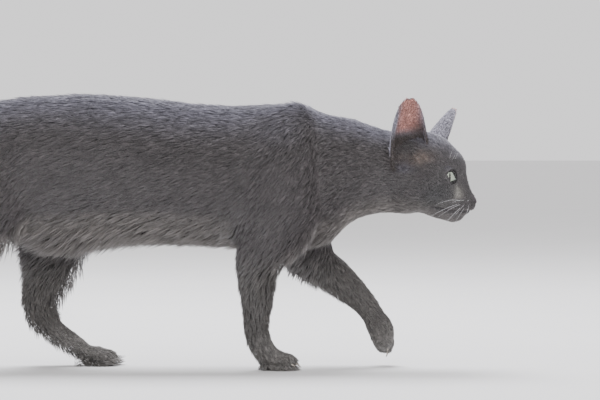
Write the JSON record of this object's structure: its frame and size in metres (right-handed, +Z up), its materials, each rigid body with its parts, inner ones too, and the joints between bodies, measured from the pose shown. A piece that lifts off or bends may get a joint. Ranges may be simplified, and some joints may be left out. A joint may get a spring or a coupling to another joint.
{
  "type": "cat model",
  "caption": "Still, life-size model of a short-haired blue-grey cat in mid stride, head held low, one forepaw lifted, tail trailing.",
  "frame": {"origin": "on the floor, below the middle of the cat's box", "axes": "+X along the body towards the face, +Y the cat's left, +Z up"},
  "size_m": [0.687, 0.1158, 0.2495],
  "materials": {
    "coat": "short, dense, softly ticked blue-grey fur",
    "eye": "clear, glossy, pale grey-green",
    "claw": "smooth, pale horn",
    "nose": "dark plum-grey leather, fine-grained and slightly moist",
    "whisker": "smooth white hair"
  },
  "bodies": {
    "root": {"head": "coat", "lower_jaw": "coat", "ear_right": "coat", "ear_left": "coat", "eye_right": "eye", "eye_left": "eye", "neck": "coat", "chest": "coat", "loins": "coat", "tail_root": "coat", "tail_middle": "coat", "tail_tip": "coat", "upper_arm_right": "coat", "forearm_right": "coat", "forepaw_right": "coat", "upper_arm_left": "coat", "forearm_left": "coat", "forepaw_left": "coat", "thigh_right": "coat", "shank_right": "coat", "hindpaw_right": "coat", "thigh_left": "coat", "shank_left": "coat", "hindpaw_left": "coat"}
  },
  "joints": []
}
